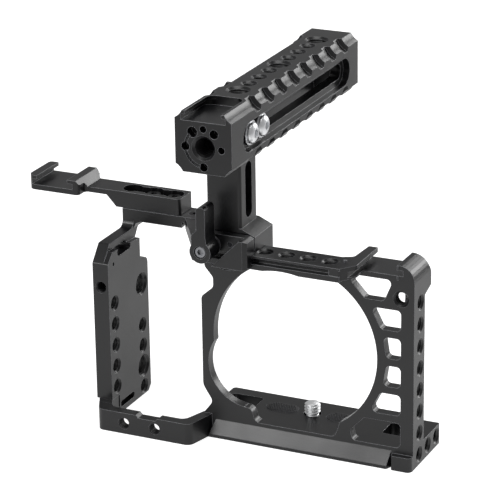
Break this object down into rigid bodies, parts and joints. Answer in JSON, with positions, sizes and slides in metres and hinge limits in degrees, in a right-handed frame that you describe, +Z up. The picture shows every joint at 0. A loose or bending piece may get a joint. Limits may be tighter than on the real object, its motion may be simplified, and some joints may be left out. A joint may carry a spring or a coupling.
{
  "type": "camera cage",
  "caption": "Black aluminium cage for a small camera, with a side plate, an accessory shoe on an arm and a top handle held on a rail by a lever clamp.",
  "frame": {"origin": "on the underside, below the lens axis, level with the front face of the ring plate", "axes": "+X to the column side, on the right seen from the front; +Y from the front to the back, the way the lens axis runs into the camera; +Z up"},
  "size_m": [0.1756, 0.12, 0.1425],
  "materials": {
    "black_anodised": "bead-blasted, black anodised, satin",
    "pad_rubber": "matt, dimpled",
    "bright_steel": "bright stainless",
    "black_steel": "black oxide, satin"
  },
  "bodies": {
    "cage": {"cage_frame": "black_anodised", "deck_pad_left": "pad_rubber", "deck_pad_right": "pad_rubber", "rail_stop_pin": "bright_steel", "grip_side_plate": "black_anodised", "plate_foot_screw": "black_steel", "bridge_screw": "black_steel", "shoe_arm_screws": "black_steel"},
    "tripod_screw": {"camera_screw": "bright_steel"},
    "arm": {"shoe_arm": "black_anodised"},
    "post": {"handle_post": "black_anodised", "grip_screws": "bright_steel", "grip_washers": "bright_steel", "jaw_guide_pins": "bright_steel"},
    "grip": {"handle_grip": "black_anodised"},
    "jaw": {"clamp_jaw": "black_anodised"},
    "stud": {"clamp_stud": "bright_steel", "thrust_washer": "bright_steel", "lever_screw": "bright_steel"},
    "lever": {"clamp_lever": "black_anodised"}
  },
  "joints": [
    {"name": "handle_slide", "type": "slide", "parent": "cage", "child": "post", "axis": [1, 0, 0], "range_m": [-0.004, 0.03]},
    {"name": "grip_slide", "type": "slide", "parent": "post", "child": "grip", "axis": [0, 1, 0], "range_m": [-0.075, 0.005]},
    {"name": "jaw_slide", "type": "slide", "parent": "post", "child": "jaw", "axis": [0, -1, 0], "range_m": [0, 0.0003]},
    {"name": "lever_turn", "type": "hinge", "parent": "jaw", "child": "stud", "pos_m": [-0.0284, -0.014, 0.0862], "axis": [0, -1, 0], "range_deg": [0, 150]},
    {"name": "lever_lift", "type": "slide", "parent": "stud", "child": "lever", "axis": [0, -1, 0], "range_m": [0, 0.0028], "stiffness_N_per_m": 400, "springref_m": -0.002},
    {"name": "arm_slide", "type": "slide", "parent": "cage", "child": "arm", "axis": [1, 0, 0], "range_m": [0, 0.009]},
    {"name": "camera_screw_turn", "type": "hinge", "parent": "cage", "child": "tripod_screw", "pos_m": [0, 0.0171, 0.008], "axis": [0, 0, 1], "continuous": true}
  ],
  "couplings": [
    {"joint": "jaw_slide", "follows": "lever_turn", "m_per_rad": 0.00011141}
  ]
}
